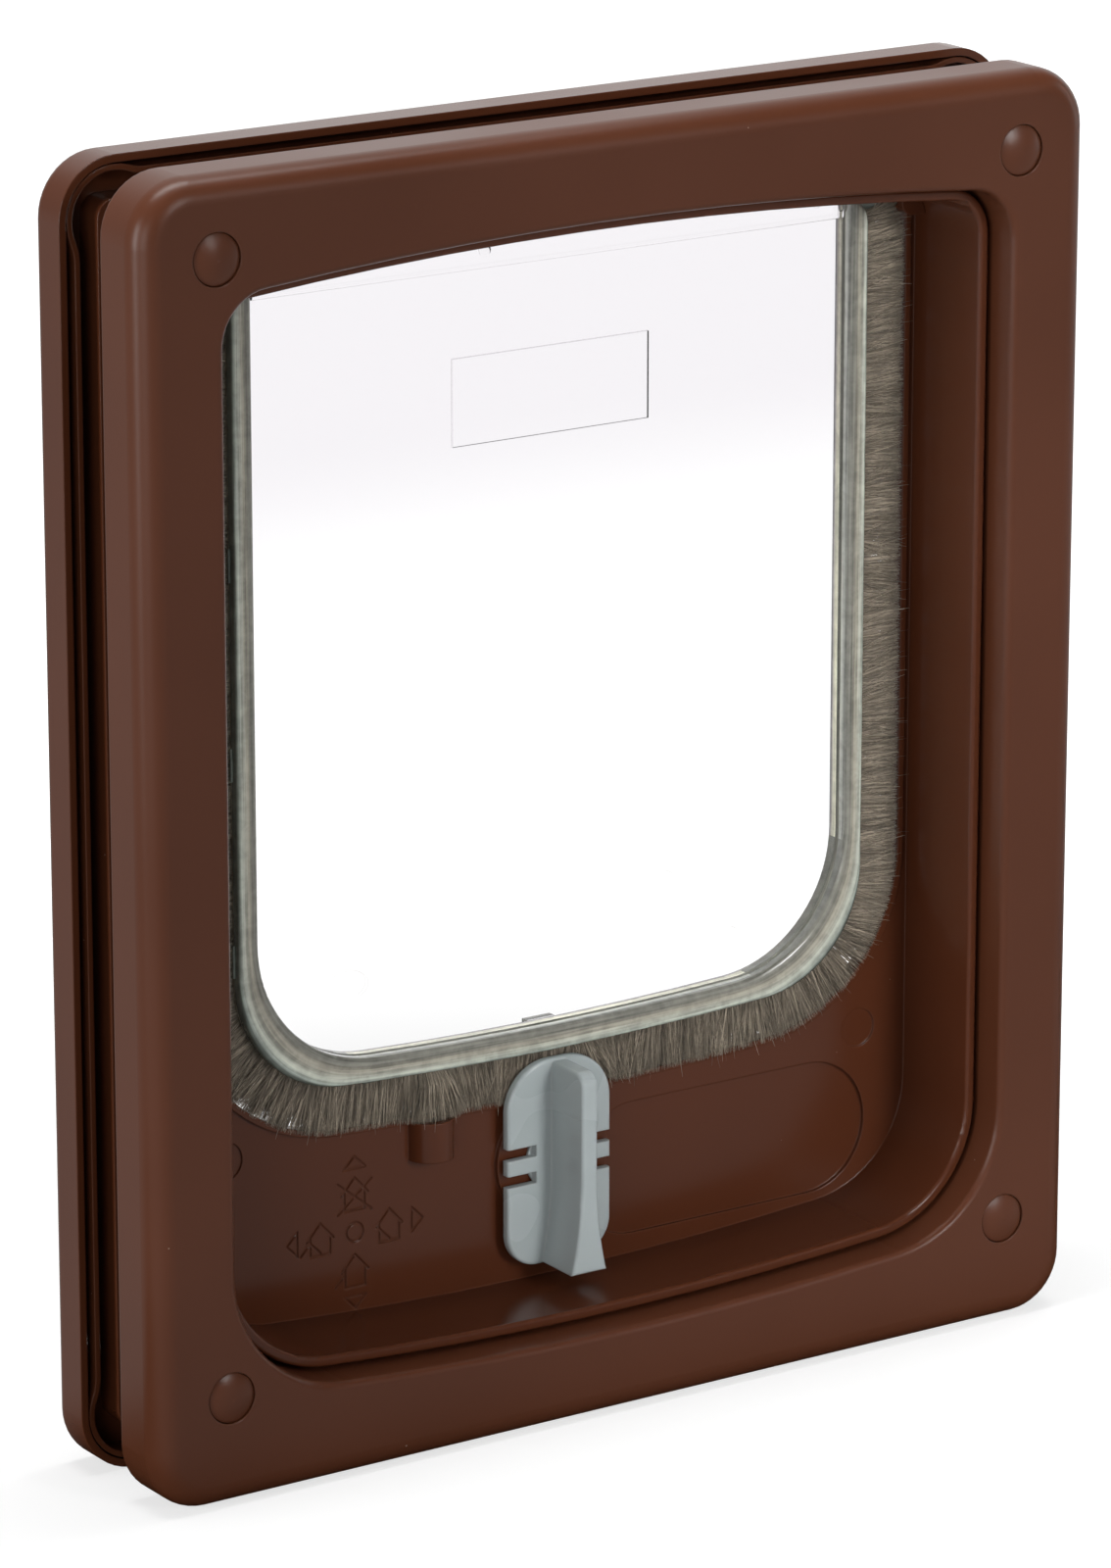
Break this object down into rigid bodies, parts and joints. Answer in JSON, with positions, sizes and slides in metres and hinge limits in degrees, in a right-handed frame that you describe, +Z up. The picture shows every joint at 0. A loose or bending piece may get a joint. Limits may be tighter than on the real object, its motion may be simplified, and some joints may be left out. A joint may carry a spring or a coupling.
{
  "type": "cat flap",
  "caption": "Locking cat flap for a door: two moulded frames, a clear swinging flap edged with brush pile, and a rotary lock knob under it.",
  "frame": {"origin": "under the middle of the two frames, on the surface that they stand on", "axes": "+X to the right seen from inside the house, +Y out of the house through the door, +Z up"},
  "size_m": [0.198, 0.0352, 0.236],
  "materials": {
    "brown_satin": "satin moulded plastic",
    "brown_gloss": "smooth moulded plastic",
    "clear_plastic": "clear moulded plastic",
    "pile": "soft brush pile",
    "grey_plastic": "smooth moulded plastic",
    "zinc_steel": "zinc plated",
    "magnet": "dull coated magnet"
  },
  "bodies": {
    "frame": {"inner_frame": "brown_satin", "outer_frame": "brown_gloss", "hinge_bearing_left": "brown_gloss", "hinge_bearing_right": "brown_gloss", "panel_magnet": "magnet", "screw_cap_top_left": "brown_satin", "screw_cap_top_right": "brown_satin", "screw_cap_bottom_left": "brown_satin", "screw_cap_bottom_right": "brown_satin", "frame_screw_top_left": "zinc_steel", "frame_screw_top_right": "zinc_steel", "frame_screw_bottom_left": "zinc_steel", "frame_screw_bottom_right": "zinc_steel"},
    "flap": {"flap_panel": "clear_plastic", "flap_striker": "clear_plastic", "pile_retainer": "clear_plastic", "pile_strip_main": "pile", "pile_strip_side": "pile", "flap_magnet": "magnet"},
    "lock": {"lock_knob": "grey_plastic", "lock_cam_front": "grey_plastic", "lock_cam_rear": "grey_plastic", "cam_screw": "zinc_steel"}
  },
  "joints": [
    {"name": "flap_hinge", "type": "hinge", "parent": "frame", "child": "flap", "pos_m": [0, 0.00885, 0.2102], "axis": [1, 0, 0], "range_deg": [-85, 85]},
    {"name": "lock_turn", "type": "hinge", "parent": "frame", "child": "lock", "pos_m": [0, 0.00885, 0.0413], "axis": [0, 1, 0], "continuous": true}
  ]
}
